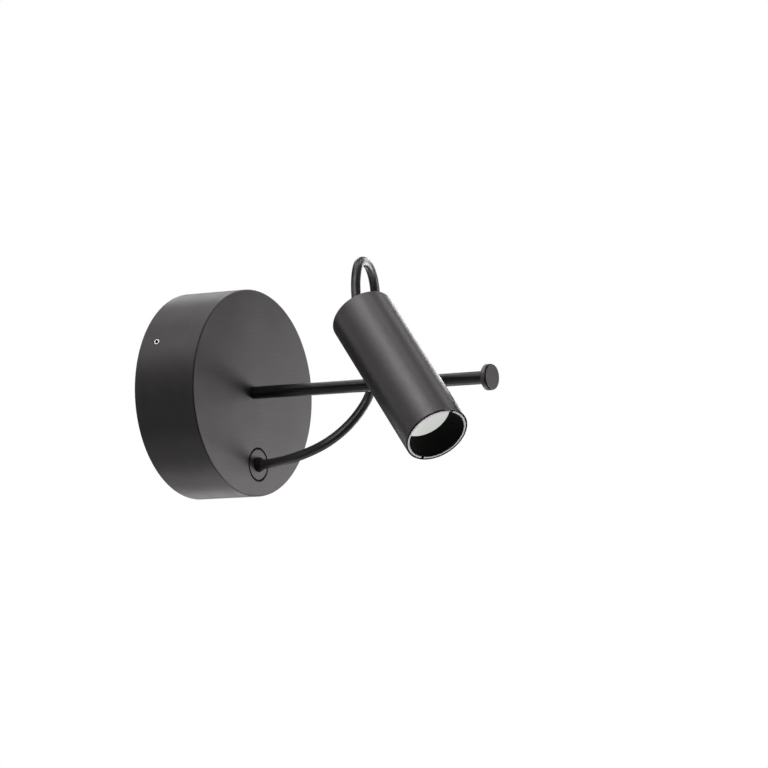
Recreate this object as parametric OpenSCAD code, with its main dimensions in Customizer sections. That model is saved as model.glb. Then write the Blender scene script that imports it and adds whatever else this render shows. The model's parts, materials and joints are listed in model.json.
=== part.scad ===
// Pivoting spotlight for a wall: a drum canopy, a rod that stands straight out of it, and a
// cylindrical head that slides along the rod, swings round it and tilts, fed by a loose cable.
// The origin is the centre of the wall plate's rear face. +Z is up and the rod points along -Y.

/* [Canopy] */
// Outside diameter of the drum
canopy_dia = 130; // [126:1:180]
// Depth from the wall to the front face
canopy_depth = 45; // [42:1:70]
// Thickness of the side wall
canopy_wall = 2; // [1.5:0.1:3]
// Thickness of the front face
canopy_face = 3.5; // [3:0.1:5]
// Chamfer round the front edge
canopy_edge = 0.6; // [0.3:0.1:1.2]
// Shadow gap between the drum and the wall
wall_gap = 0.5; // [0.3:0.1:1.5]

/* [Wall plate] */
// Thickness of the plate that lies on the wall
plate_thick = 2; // [1.5:0.1:3]
// Thickness of the rim that carries the drum
rim_thick = 2.5; // [2:0.1:3.5]
// Depth of the rim from the wall
rim_depth = 18; // [16:0.5:24]
// Radial play between the rim and the drum
rim_play = 0.3; // [0.2:0.05:0.6]
// Diameter of the hole where the house cable comes in
entry_dia = 20; // [14:1:24]
// Distance between the centres of the two wall-screw slots
slot_pitch = 80; // [70:1:90]
// Width of a wall-screw slot
slot_width = 5; // [4:0.5:6]
// Length of a wall-screw slot from end to end
slot_len = 14; // [9:1:18]

/* [Drum screws] */
// Thread diameter of the screws that hold the drum on the rim
drum_screw_dia = 4; // [3:0.5:5]
// Length of a drum screw
drum_screw_len = 6; // [5.5:0.5:10]
// Distance of the drum screws from the wall
drum_screw_from_wall = 12; // [8:0.5:14]
// Angle of the two side screws above the horizontal
drum_screw_angle = 33; // [20:1:40]

/* [Rod] */
// Diameter of the rod
rod_dia = 8; // [7:0.5:9]
// Distance from the canopy's face to the front of the end knob
rod_reach = 175.5; // [165:0.5:240]
// Diameter of the threaded tenons at the ends of the rod
tenon_dia = 6; // [5:0.5:6.5]
// Diameter of the end knob
knob_dia = 16; // [13:0.5:24]
// Thickness of the end knob
knob_thick = 4.2; // [4:0.1:8]
// Chamfer round the knob
knob_edge = 0.5; // [0.2:0.1:1]

/* [Cable outlet] */
// Distance of the cable outlet's centre from the canopy's edge, straight below the rod
outlet_inset = 20; // [18:1:25]
// Diameter of the outlet's disc, flush in the face
outlet_dia = 20.6; // [18:0.2:22]
// Gap between the outlet's disc and the face, each side
outlet_gap = 0.4; // [0.2:0.1:0.8]
// Thickness of the outlet's disc
outlet_disc = 2; // [1.5:0.1:2.4]
// Thread diameter behind the disc
outlet_thread = 12; // [11:0.5:14]
// Diameter of the cable
cable_dia = 6; // [4.5:0.1:6.4]
// Length of the rubber nose round the cable at the outlet
nose_len = 3; // [2:0.5:6]

/* [Driver and terminals] */
// Length of the driver
driver_len = 70; // [56:1:74]
// Height of the driver
driver_high = 32; // [24:1:34]
// Depth of the driver from the plate
driver_deep = 21; // [15:1:26]
// Room between the driver's upper corners and the rim
driver_room = 2.4; // [1.5:0.1:6]
// Pitch of the terminal block's three poles
pole_pitch = 9; // [8:0.5:10]
// Diameter of the small screws that fasten the driver and the terminals
small_screw_dia = 3; // [2.5:0.5:3.5]

/* [Slider and pivot] */
// Distance from the canopy's face to the head's pivot
head_station = 122; // [100:1:125]
// Wall of the sleeve between the rod and the pivot block
sleeve_wall = 1.5; // [1:0.1:2]
// Diameter of the pivot block
block_dia = 18; // [17:0.5:21]
// Width of the block along the rod, over its two flats
block_width = 16; // [15.6:0.2:17]
// Thickness of the sleeve's flange and of its ring
flange_thick = 1.2; // [1:0.1:2]
// Thread diameter of the bolt that the head tilts on
pivot_bolt_dia = 5; // [4:0.5:6]
// Depth of the bolt's thread in the block
pivot_thread = 4.8; // [4:0.1:7]
// Thread diameter of the friction screw
friction_screw_dia = 5; // [4:0.5:6]
// Swing of the head round the rod at rest, from hanging straight down
head_swing = 26.3; // [0:0.1:60]
// Tilt of the head at rest, from square to the rod towards the front
head_tilt = 40.6; // [0:0.1:80]

/* [Head] */
// Outside diameter of the head
head_dia = 40; // [39:0.5:46]
// Length of the head
head_len = 110; // [106:1:140]
// Wall of the head's tube
head_wall = 1.5; // [1.5:0.1:2]
// Distance of the pivot from the rear end
pivot_from_rear = 40; // [36:0.5:42]
// Chamfer round both ends of the tube
head_edge = 0.5; // [0.2:0.05:0.6]

/* [Mouth of the head] */
// Width of the bright front ring, seen from the front
ring_width = 1.35; // [1.2:0.05:1.8]
// Thickness of the front ring
ring_thick = 2; // [1.5:0.1:3]
// Depth at which the front ring lies behind the tube's end
ring_recess = 0.3; // [0:0.1:0.8]
// Width of the ring's two spanner notches
notch_width = 2; // [1.5:0.1:2.5]
// Depth of the lens behind the mouth
lens_depth = 17.5; // [14:0.5:20]
// Diameter of the lens that shows in the baffle
lens_show_dia = 32.5; // [28:0.5:33]
// Thickness of the lens
lens_thick = 3; // [2:0.1:4]

/* [Lamp] */
// Length of the reflector
reflector_len = 20; // [16:0.5:22]
// Diameter of the reflector's throat
throat_dia = 13; // [12.5:0.5:16]
// Side of the square light source
chip_side = 13.4; // [11:0.2:13.4]
// Gap between the heat sink and the cord stop
sink_gap = 8.4; // [4:0.2:12]
// Number of the heat sink's fins
fin_count = 16; // [12:1:20]
// Thickness of a fin
fin_thick = 1.4; // [1:0.1:1.6]

/* [Hidden] */
$fn = 96;
// Overrun of a cut past the face that it opens
cut = 1;
// Play round a thread that is drawn as a plain bore, and between faces that slide
thread_play = 0.05;
face_play = 0.05;
run_play = 0.05;
// Play round pieces that are dropped in and clamped
seat_play = 0.1;

// Canopy and wall plate
canopy_r = canopy_dia / 2;
shell_r = canopy_r - canopy_wall;
rim_r = shell_r - rim_play;
rim_in_r = rim_r - rim_thick;
face_y = -canopy_depth;
inside_y = face_y + canopy_face;
plate_edge = 0.5;
// Angles of the drum screws, seen from the front, with the third one straight below
drum_screw_angles = [drum_screw_angle, 180 - drum_screw_angle, 270];
drum_screw_play = 0.25;
drum_screw_sink = 0.2;
drum_socket = drum_screw_dia / 2;
drum_socket_deep = 2.2;

// Rod, its nut and its knob
rod_r = rod_dia / 2;
tenon_r = tenon_dia / 2;
tenon_play = 0.1;
rod_washer_dia = 14;
rod_washer_thick = 1.2;
rod_nut_flats = 10;
rod_nut_thick = 5;
tenon_spare = 1.5;
rod_edge = 0.3;
knob_y = face_y - rod_reach;
knob_back_y = knob_y + knob_thick;
stud_len = knob_thick * 0.7;
stud_spare = 0.3;
knob_groove = 0.4;

// Cable outlet
outlet_r = outlet_dia / 2;
outlet_drop = canopy_r - outlet_inset;
outlet_thread_r = outlet_thread / 2;
outlet_thread_len = 8;
outlet_nut_flats = 17;
outlet_nut_thick = 3;
cable_r = cable_dia / 2;
cable_play = 0.1;
grommet_wall = 1.1;
grommet_r = cable_r + cable_play + grommet_wall;
nose_step = 0.5;
nose_tip_wall = 0.7;
nose_base_r = grommet_r + nose_step;
nose_tip_r = cable_r + nose_tip_wall;
nose_y = face_y - nose_len;

// Driver, terminal block and earth screw
driver_corner = 2;
driver_ear = 6;
driver_ear_high = 9;
driver_ear_thick = 2.4;
driver_top_z = sqrt(pow(rim_in_r - driver_room, 2) - pow(driver_len / 2, 2));
driver_lift = driver_top_z - driver_high;
driver_mid_z = driver_lift + driver_high / 2;
driver_screw_x = driver_len / 2 + driver_ear / 2;
small_screw_r = small_screw_dia / 2;
small_head_r = small_screw_dia * 0.9;
small_head_thick = 1.8;
screw_clear = 0.2;
// Distances of the cable and of the first mains lead from the driver's two ends
driver_lead_inset = 13;
mains_lead_inset = 6;
pole_count = 3;
block_end = 2 * (small_head_r + screw_clear);
terminal_len = pole_count * pole_pitch + 2 * block_end;
terminal_high = 17;
terminal_deep = 13;
// The block sits beside the middle, with its lower corner this far from the rim
terminal_share = 1 / 3;
terminal_room = 5.9;
terminal_x = -rim_in_r * terminal_share;
terminal_corner_x = terminal_len / 2 - terminal_x;
terminal_z = terminal_high / 2 - sqrt(pow(rim_in_r - terminal_room, 2) - pow(terminal_corner_x, 2));
terminal_base = 3;
pole_r = 1.7;
pole_screw_z = 4.6;
pole_screw_len = 6;
pole_screw_sink = 1;
pole_floor = 1;
wire_y = -plate_thick - terminal_base - pole_r - pole_floor;
wire_r = 1.1;
wire_sides = 8;
wire_steps = 12;
wire_side = [1, 0.37, 0.21];
earth_x = 26;
earth_z = -24;
earth_dia = 4;
earth_washer_dia = 9;
earth_washer_thick = 0.8;
earth_head_dia = 8;
earth_head_thick = 2.6;

// Slider sleeve and pivot block
sleeve_bore_r = rod_r + run_play;
sleeve_r = rod_r + sleeve_wall;
sleeve_flange_lip = 2;
sleeve_flange_r = sleeve_r + sleeve_flange_lip;
sleeve_slot_width = 1;
sleeve_slot_count = 3;
station_y = face_y - head_station;
block_r = block_dia / 2;
block_bore_r = sleeve_r + run_play;
block_half = block_width / 2;
block_edge = 0.6;
friction_screw_r = friction_screw_dia / 2;
friction_pad_thick = 1.1;
friction_screw_len = 3;
friction_screw_sink = 0.35;
friction_screw_x = sleeve_r + face_play + friction_pad_thick;
block_far = friction_screw_x + friction_screw_len + friction_screw_sink;
bolt_end_play = 0.4;
block_near = sleeve_r + bolt_end_play + pivot_thread;
sleeve_front = block_half + face_play;
sleeve_len = block_width + 2 * face_play + 2 * flange_thick;

// Pivot stack, measured from the head's axis towards the rod
head_r = head_dia / 2;
bore_r = head_r - head_wall;
saddle_r = 8;
saddle_rise = 2.5;
inner_saddle_r = 7;
inner_saddle_rise = 2.3;
washer_thick = 0.8;
spring_thick = 0.5;
spring_height = 0.8;
pivot_bolt_r = pivot_bolt_dia / 2;
pivot_head_lip = 1.9;
pivot_head_r = pivot_bolt_r + pivot_head_lip;
pivot_head_thick = 3;
pivot_socket = 3;
pivot_socket_deep = 1.8;
saddle_face = head_r + saddle_rise;
inner_face = bore_r - inner_saddle_rise;
pivot_offset = saddle_face + washer_thick + block_near;
pivot_head_face = inner_face - spring_height;
wall_hole_play = 0.3;

// Stations inside the head, measured from the mouth towards the rear
pivot_from_mouth = head_len - pivot_from_rear;
seat_step = 0.6;
seat_r = bore_r + seat_step;
ring_r = seat_r - seat_play;
ring_bore_r = ring_r - ring_width;
z_baffle = ring_recess + ring_thick;
z_gasket = lens_depth + lens_thick;
gasket_thick = 1.6;
z_reflector = z_gasket + gasket_thick;
z_holder = z_reflector + reflector_len;
holder_thick = 3;
z_board = z_holder + holder_thick;
board_thick = 1.6;
z_sink = z_board + board_thick;
cap_thick = 5;
cap_recess = 0.4;
z_cap = head_len - cap_recess - cap_thick;
rear_flange_thick = 1.5;
stop_len = 6;
z_stop = z_cap - rear_flange_thick - stop_len;
sink_len = z_stop - sink_gap - z_sink;
baffle_wall = 0.8;
ring_step = 0.2;
inner_r = bore_r - seat_play;
lens_r = inner_r - seat_play;
notch_deep = 1.2;
// Place of the spanner notches, seen along the head
notch_angle = 65;
reflector_wall = 0.8;
reflector_flange = 1.2;
reflector_steps = 14;
holder_r = 15;
chip_thick = 1.1;
chip_play = 0.1;
phosphor_r = 5.4;
phosphor_thick = 0.4;
board_r = 16;
led_screw_at = 11;
led_screw_len = 9;
led_screw_sink = 1.9;
hub_r = 8;
sink_disc = 7;
sink_pocket_margin = 1.5;
sink_pocket_r = inner_saddle_r + sink_pocket_margin;
sink_pocket_play = 0.6;
sink_screw_r = 1.5;
sink_screw_len = 6;
sink_screw_sink = 0.1;
// Angle of the two sink screws to each side of the pivot
sink_screw_angle = 60;
cap_bore_r = grommet_r + cable_play;
spanner_r = 1.25;
spanner_at = 11.5;
spanner_deep = 2.5;
rear_nose_len = 6;
rear_flange_lip = 1.6;
rear_flange_r = grommet_r + rear_flange_lip;
stop_wall = 2.2;
rear_tip = head_len + rear_nose_len;

// Colours
graphite = [0.27, 0.27, 0.28];
rod_black = [0.13, 0.13, 0.14];
rubber_black = [0.08, 0.08, 0.08];
matt_black = [0.03, 0.03, 0.03];
plastic_black = [0.12, 0.12, 0.12];
bright_steel = [0.75, 0.76, 0.78];
zinc = [0.62, 0.64, 0.66];
aluminium = [0.82, 0.83, 0.84];
glass_white = [0.93, 0.94, 0.92];
board_white = [0.92, 0.92, 0.88];
phosphor_yellow = [0.95, 0.82, 0.25];
nylon_white = [0.9, 0.9, 0.86];
wire_brown = [0.36, 0.2, 0.1];
earth_green = [0.35, 0.6, 0.2];

// The cable's route from the outlet's nose, behind the rod, over a loop and down into the head.
// Its two ends are worked out from the sizes. The points between them are chosen by hand for
// ends at the first two points here, and follow the ends when the sizes change.
hand_start = [0, -48, -45];
hand_end = [-15.006, -137.064, 46.376];
hand_points = [
    [0, -60, -44],
    [0.5, -71.5, -42],
    [2.5, -82.5, -38.8],
    [4.5, -93.5, -34.3],
    [8, -103, -28],
    [12, -111, -20.1],
    [16, -117.5, -10.6],
    [20, -121, -0.5],
    [25, -122.5, 10],
    [29.5, -120.5, 21],
    [33.5, -117, 31.5],
    [37, -114.5, 42.5],
    [38.2, -115.3, 54.7],
    [34.3, -117, 66.4],
    [25.8, -119.9, 74.2],
    [15, -123, 76.8],
    [3.8, -126.6, 74.6],
    [-4.6, -129.8, 66.7],
    [-10.3, -132.8, 56.2]
];
cable_sides = 10;
// The cable is drawn in three lengths that meet at these points of its route
cable_first_joint = 6;
cable_second_joint = 12;
out_of_wall = [0, -1, 0];
swing_side = [cos(head_swing), 0, -sin(head_swing)];
head_ahead = [
    -cos(head_tilt) * sin(head_swing),
    -sin(head_tilt),
    -cos(head_tilt) * cos(head_swing)
];
pivot_point = [0, station_y, 0] - pivot_offset * swing_side;
cable_start = [0, nose_y, -outlet_drop];
cable_end = pivot_point - (pivot_from_rear + rear_nose_len) * head_ahead;
cable_spans = len(hand_points) + 1;
cable_points = [
    for (i = [1 : cable_spans - 1])
        let (t = i / cable_spans)
        hand_points[i - 1] + (1 - t) * (cable_start - hand_start) + t * (cable_end - hand_end)
];
cable_path = concat([cable_start], cable_points, [cable_end]);
cable_ahead = directions(cable_path, out_of_wall, head_ahead);
cable_side = transport(cable_ahead, 0, [1, 0, 0]);

// Functions for the swept cables
function unit(v) = v / norm(v);
function directions(path, first, last) = [
    for (i = [0 : len(path) - 1])
        i == 0 ? first : i == len(path) - 1 ? last : unit(path[i + 1] - path[i - 1])
];
function transport(ahead, i, side) =
    i == len(ahead) ? [] :
    let (next = unit(side - (side * ahead[i]) * ahead[i]))
    concat([next], transport(ahead, i + 1, next));
function part_of(list, from, to) = [for (i = [from : to]) list[i]];
function bezier(a, b, c, d, steps) = [
    for (i = [0 : steps])
        let (t = i / steps, s = 1 - t)
        s * s * s * a + 3 * s * s * t * b + 3 * s * t * t * c + t * t * t * d
];

// A closed tube along a path, with one ring at each point
module sweep(path, ahead, side, r, sides) {
    rings = len(path);
    points = [
        for (i = [0 : rings - 1], k = [0 : sides - 1])
            let (a = 360 * k / sides)
            path[i] + r * (cos(a) * side[i] + sin(a) * cross(ahead[i], side[i]))
    ];
    walls = [
        for (i = [0 : rings - 2], k = [0 : sides - 1], half = [0, 1])
            let (
                m = (k + 1) % sides,
                a = i * sides + k,
                b = i * sides + m,
                c = a + sides,
                d = b + sides
            )
            half == 0 ? [a, c, b] : [b, c, d]
    ];
    first = [for (k = [0 : sides - 1]) k];
    last = [for (k = [sides - 1 : -1 : 0]) (rings - 1) * sides + k];
    polyhedron(points = points, faces = concat([first], walls, [last]));
}

// A wire along a smooth curve between two points, with the directions in which it leaves and arrives
module wire(from, leaving, to, arriving, reach, r) {
    path = bezier(from, from + reach * leaving, to - reach * arriving, to, wire_steps);
    ahead = directions(path, leaving, arriving);
    sweep(path, ahead, transport(ahead, 0, wire_side), r, wire_sides);
}

module cable_length(from, to) {
    color(rubber_black)
        sweep(
            part_of(cable_path, from, to),
            part_of(cable_ahead, from, to),
            part_of(cable_side, from, to),
            cable_r,
            cable_sides
        );
}

// Placing
// Turns a shape drawn along +Z so that it stands out of the wall along -Y
module out_from(y) {
    translate([0, y, 0])
        rotate([90, 0, 0])
            children();
}

module at_outlet(y) {
    translate([0, 0, -outlet_drop])
        out_from(y)
            children();
}

// The pivot block's own frame: origin on the rod's axis, +X away from the head
module at_block() {
    translate([0, station_y, 0])
        rotate([0, head_swing, 0])
            children();
}

// The head's own frame: origin where the pivot meets the head's axis, -Z towards the mouth
module at_pivot() {
    at_block()
        translate([-pivot_offset, 0, 0])
            rotate([-head_tilt, 0, 0])
                children();
}

// The head's frame moved to the mouth, with +Z towards the rear
module at_mouth() {
    at_pivot()
        translate([0, 0, -pivot_from_mouth])
            children();
}

// Turns a shape drawn along +Z to the pivot's axis, towards the rod
module along_pivot(x) {
    translate([x, 0, 0])
        rotate([0, 90, 0])
            children();
}

// Shapes
module tube(r, bore, h) {
    difference() {
        cylinder(r = r, h = h);
        translate([0, 0, -cut])
            cylinder(r = bore, h = h + 2 * cut);
    }
}

module chamfered(r, h, low, high) {
    rotate_extrude()
        polygon([
            [0, 0], [r - low, 0], [r, low], [r, h - high], [r - high, h], [0, h]
        ]);
}

module hexagon(flats, h) {
    cylinder(d = flats / cos(30), h = h, $fn = 6);
}

module hex_nut(flats, bore, h) {
    difference() {
        hexagon(flats, h);
        translate([0, 0, -cut])
            cylinder(r = bore, h = h + 2 * cut);
    }
}

module rounded_box(w, h, t, corner) {
    linear_extrude(t) {
        square([w - 2 * corner, h], center = true);
        square([w, h - 2 * corner], center = true);
        for (x = [-1, 1], y = [-1, 1])
            translate([x * (w / 2 - corner), y * (h / 2 - corner)])
                circle(r = corner);
    }
}

module slot(w, len, h) {
    linear_extrude(h) {
        square([len - w, w], center = true);
        for (x = [-1, 1])
            translate([x * (len - w) / 2, 0])
                circle(d = w);
    }
}

// A screw with a socket or slot, head up, whose thread starts at z = 0 and runs down
module pan_screw(r, len, head_r, head_thick) {
    slot_width = head_r * 0.35;
    difference() {
        union() {
            translate([0, 0, -len])
                cylinder(r = r, h = len);
            chamfered(head_r, head_thick, 0, head_thick * 0.35);
        }
        translate([-head_r - cut, -slot_width / 2, head_thick / 2])
            cube([2 * (head_r + cut), slot_width, head_thick]);
    }
}

module socket_screw(r, len, socket, deep) {
    difference() {
        chamfered(r, len, r * 0.2, r * 0.1);
        translate([0, 0, len - deep])
            hexagon(socket, deep + cut);
    }
}

// Wall plate and canopy
module at_drum_screws() {
    for (a = drum_screw_angles)
        rotate([0, -a, 0])
            translate([0, -drum_screw_from_wall, 0])
                rotate([0, 90, 0])
                    children();
}

module at_driver_screws() {
    for (x = [-driver_screw_x, driver_screw_x])
        translate([x, 0, driver_mid_z])
            children();
}

module at_block_screws() {
    for (x = [-1, 1])
        translate([terminal_x + x * (terminal_len - block_end) / 2, 0, terminal_z])
            children();
}

module wall_plate() {
    color(zinc)
        difference() {
            out_from(0)
                rotate_extrude()
                    polygon([
                        [0, 0], [rim_r - plate_edge, 0], [rim_r, plate_edge], [rim_r, rim_depth],
                        [rim_r - rim_thick, rim_depth], [rim_r - rim_thick, plate_thick],
                        [0, plate_thick]
                    ]);
            out_from(cut)
                cylinder(d = entry_dia, h = plate_thick + 2 * cut);
            for (x = [-slot_pitch / 2, slot_pitch / 2])
                translate([x, 0, 0])
                    out_from(cut)
                        slot(slot_width, slot_len, plate_thick + 2 * cut);
            at_drum_screws()
                translate([0, 0, rim_r - rim_thick - cut])
                    cylinder(d = drum_screw_dia + 2 * thread_play, h = rim_thick + 2 * cut);
            at_driver_screws()
                out_from(cut)
                    cylinder(r = small_screw_r + thread_play, h = plate_thick + 2 * cut);
            at_block_screws()
                out_from(cut)
                    cylinder(r = small_screw_r + thread_play, h = plate_thick + 2 * cut);
            translate([earth_x, 0, earth_z])
                out_from(cut)
                    cylinder(d = earth_dia + 2 * thread_play, h = plate_thick + 2 * cut);
        }
}

module canopy() {
    color(graphite)
        difference() {
            out_from(-wall_gap)
                chamfered(canopy_r, canopy_depth - wall_gap, 0, canopy_edge);
            out_from(cut)
                cylinder(r = shell_r, h = canopy_depth - canopy_face + cut);
            out_from(inside_y + cut)
                cylinder(r = tenon_r + tenon_play, h = canopy_face + 2 * cut);
            at_outlet(inside_y + cut)
                cylinder(r = outlet_thread_r + tenon_play, h = canopy_face + 2 * cut);
            at_outlet(face_y + outlet_disc)
                cylinder(r = outlet_r + outlet_gap, h = outlet_disc + cut);
            at_drum_screws()
                translate([0, 0, shell_r - cut])
                    cylinder(d = drum_screw_dia + 2 * drum_screw_play, h = canopy_wall + 2 * cut);
        }
}

module drum_screws() {
    color(bright_steel)
        at_drum_screws()
            translate([0, 0, canopy_r - drum_screw_sink - drum_screw_len])
                socket_screw(drum_screw_dia / 2, drum_screw_len, drum_socket, drum_socket_deep);
}

// Driver, terminals and leads inside the canopy
module driver() {
    color(plastic_black)
        difference() {
            translate([0, 0, driver_mid_z])
                out_from(-plate_thick) {
                    rounded_box(driver_len, driver_high, driver_deep, driver_corner);
                    rounded_box(
                        driver_len + 2 * driver_ear, driver_ear_high, driver_ear_thick, driver_corner
                    );
                }
            at_driver_screws()
                out_from(cut)
                    cylinder(r = small_screw_r + screw_clear, h = plate_thick + driver_ear_thick + 2 * cut);
        }
}

module driver_screws() {
    color(zinc)
        at_driver_screws()
            out_from(-plate_thick - driver_ear_thick)
                pan_screw(
                    small_screw_r, plate_thick + driver_ear_thick, small_head_r, small_head_thick
                );
}

module at_poles() {
    for (i = [0 : pole_count - 1])
        translate([terminal_x + (i - (pole_count - 1) / 2) * pole_pitch, 0, terminal_z])
            children();
}

module terminal_block() {
    color(nylon_white)
        difference() {
            translate([terminal_x, 0, terminal_z]) {
                out_from(-plate_thick)
                    rounded_box(terminal_len, terminal_high, terminal_base, driver_corner);
                out_from(-plate_thick)
                    rounded_box(
                        terminal_len - 2 * block_end, terminal_high, terminal_deep, driver_corner / 2
                    );
            }
            at_poles()
                translate([0, wire_y, -terminal_high])
                    cylinder(r = pole_r, h = 2 * terminal_high);
            at_poles()
                for (z = [-pole_screw_z, pole_screw_z])
                    translate([0, 0, z])
                        out_from(wire_y)
                            cylinder(r = pole_r, h = terminal_deep);
            at_block_screws()
                out_from(cut)
                    cylinder(r = small_screw_r + screw_clear, h = plate_thick + terminal_base + 2 * cut);
        }
}

module terminal_screws() {
    top_y = -plate_thick - terminal_deep;
    color(bright_steel)
        at_poles()
            for (z = [-pole_screw_z, pole_screw_z])
                translate([0, 0, z])
                    out_from(top_y + pole_screw_len)
                        difference() {
                            cylinder(r = pole_r - thread_play, h = pole_screw_len - pole_screw_sink);
                            translate([-pole_r, -pole_r / 5, pole_screw_len - 2 * pole_screw_sink])
                                cube([2 * pole_r, 2 * pole_r / 5, pole_screw_len]);
                        }
}

module block_screws() {
    color(zinc)
        at_block_screws()
            out_from(-plate_thick - terminal_base)
                pan_screw(
                    small_screw_r, plate_thick + terminal_base, small_head_r, small_head_thick
                );
}

module earth_screw() {
    color(bright_steel)
        translate([earth_x, 0, earth_z])
            out_from(-plate_thick - earth_washer_thick)
                pan_screw(
                    earth_dia / 2, plate_thick + earth_washer_thick, earth_head_dia / 2, earth_head_thick
                );
}

module earth_washer() {
    color(zinc)
        translate([earth_x, 0, earth_z])
            out_from(-plate_thick)
                tube(earth_washer_dia / 2, earth_dia / 2 + screw_clear, earth_washer_thick);
}

module mains_leads() {
    top_z = terminal_z + terminal_high / 2;
    driver_x = mains_lead_inset - driver_len / 2;
    color(wire_brown)
        for (i = [0, 1])
            wire(
                [terminal_x + (i - 1) * pole_pitch, wire_y, top_z],
                [0, 0, 1],
                [driver_x + i * pole_pitch, -plate_thick - driver_deep / 2, driver_lift],
                [0, 0, 1],
                (driver_lift - top_z) / 3,
                wire_r
            );
}

module earth_lead() {
    color(earth_green)
        wire(
            [terminal_x + pole_pitch, wire_y, terminal_z + terminal_high / 2],
            [0, 0, 1],
            [earth_x - earth_washer_dia / 2, -plate_thick - wire_r, earth_z],
            [1, 0, 0],
            earth_head_dia * 2,
            wire_r
        );
}

// Rod and knob
module rod() {
    shank = knob_back_y - face_y;
    tail = canopy_face + rod_washer_thick + rod_nut_thick + tenon_spare;
    color(rod_black) {
        out_from(face_y)
            chamfered(rod_r, -shank, rod_edge, rod_edge);
        out_from(face_y + tail)
            chamfered(tenon_r, tail + cut, rod_edge, 0);
        out_from(knob_back_y + cut)
            cylinder(r = tenon_r, h = stud_len + cut);
    }
}

module rod_washer() {
    color(zinc)
        out_from(inside_y + rod_washer_thick)
            tube(rod_washer_dia / 2, tenon_r + tenon_play, rod_washer_thick);
}

module rod_nut() {
    color(zinc)
        out_from(inside_y + rod_washer_thick + rod_nut_thick)
            hex_nut(rod_nut_flats, tenon_r + thread_play, rod_nut_thick);
}

module end_knob() {
    knob_r = knob_dia / 2;
    color(graphite)
        out_from(knob_back_y)
            difference() {
                rotate_extrude()
                    polygon([
                        [0, 0], [knob_r - knob_edge, 0], [knob_r, knob_edge],
                        [knob_r, knob_thick - 3 * knob_edge],
                        [knob_r - knob_groove, knob_thick - 2.6 * knob_edge],
                        [knob_r - knob_groove, knob_thick - 2 * knob_edge],
                        [knob_r, knob_thick - 1.6 * knob_edge],
                        [knob_r - knob_edge * 0.6, knob_thick], [0, knob_thick]
                    ]);
                translate([0, 0, -cut])
                    cylinder(r = tenon_r + thread_play, h = stud_len + stud_spare + cut);
            }
}

// Cable outlet
module cable_outlet() {
    thread_y = face_y + outlet_disc + outlet_thread_len;
    color(graphite)
        difference() {
            union() {
                at_outlet(face_y + outlet_disc)
                    chamfered(outlet_r, outlet_disc, 0, outlet_gap / 2);
                at_outlet(thread_y)
                    cylinder(r = outlet_thread_r, h = outlet_thread_len + outlet_disc / 2);
            }
            at_outlet(thread_y + cut)
                cylinder(r = grommet_r + thread_play, h = outlet_thread_len + outlet_disc + 2 * cut);
        }
}

module outlet_nut() {
    color(zinc)
        at_outlet(inside_y + outlet_nut_thick)
            hex_nut(outlet_nut_flats, outlet_thread_r + thread_play, outlet_nut_thick);
}

module outlet_grommet() {
    body = outlet_disc + outlet_thread_len;
    color(rubber_black)
        at_outlet(face_y + body)
            rotate_extrude()
                polygon([
                    [cable_r + cable_play, 0], [grommet_r, 0], [grommet_r, body],
                    [nose_base_r, body], [nose_base_r, body + nose_len / 4],
                    [nose_tip_r, body + nose_len], [cable_r + cable_play, body + nose_len]
                ]);
}

module inner_lead() {
    straight_y = face_y + outlet_disc + outlet_thread_len + cable_dia;
    from = [0, straight_y, -outlet_drop];
    color(rubber_black) {
        at_outlet(straight_y)
            cylinder(r = cable_r, h = straight_y - nose_y);
        wire(
            from,
            [0, 1, 0],
            [driver_len / 2 - driver_lead_inset, -plate_thick - driver_deep / 2, driver_lift],
            [0, 0, 1],
            cable_dia * 4,
            cable_r
        );
    }
}

// The cable outside the canopy, in three lengths
module cable_lower() {
    cable_length(0, cable_first_joint);
}

module cable_middle() {
    cable_length(cable_first_joint, cable_second_joint);
}

module cable_upper() {
    cable_length(cable_second_joint, len(cable_path) - 1);
}

// Slider
module slider_sleeve() {
    color(nylon_white)
        difference() {
            out_from(station_y + sleeve_front + flange_thick)
                difference() {
                    union() {
                        cylinder(r = sleeve_r, h = sleeve_len);
                        chamfered(sleeve_flange_r, flange_thick, flange_thick / 4, 0);
                    }
                    translate([0, 0, -cut])
                        cylinder(r = sleeve_bore_r, h = sleeve_len + 2 * cut);
                }
            for (i = [0 : sleeve_slot_count - 1])
                translate([0, station_y, 0])
                    rotate([0, 360 * i / sleeve_slot_count, 0])
                        translate([-sleeve_slot_width / 2, -sleeve_len, 0])
                            cube([sleeve_slot_width, sleeve_len, sleeve_flange_r]);
        }
}

module sleeve_ring() {
    color(bright_steel)
        out_from(station_y - sleeve_front)
            tube(sleeve_flange_r, sleeve_r + thread_play, flange_thick);
}

// Pivot block and its screws
module pivot_block() {
    color(graphite)
        at_block()
            difference() {
                along_pivot(-block_near)
                    chamfered(block_r, block_near + block_far, block_edge / 2, block_edge);
                for (side = [-1, 1])
                    translate([0, side * (block_half + block_r), 0])
                        cube([4 * block_r, 2 * block_r, 4 * block_r], center = true);
                out_from(block_r)
                    cylinder(r = block_bore_r, h = 2 * block_r);
                along_pivot(-block_near - cut)
                    cylinder(r = pivot_bolt_r + thread_play, h = block_near + cut);
                along_pivot(0)
                    cylinder(r = friction_screw_r + thread_play, h = block_far + cut);
            }
}

module friction_pad() {
    color(nylon_white)
        at_block()
            along_pivot(sleeve_r + face_play)
                cylinder(r = friction_screw_r - seat_play, h = friction_pad_thick);
}

module friction_screw() {
    color(bright_steel)
        at_block()
            along_pivot(friction_screw_x)
                socket_screw(
                    friction_screw_r, friction_screw_len, friction_screw_r, friction_screw_len * 0.6
                );
}

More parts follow.
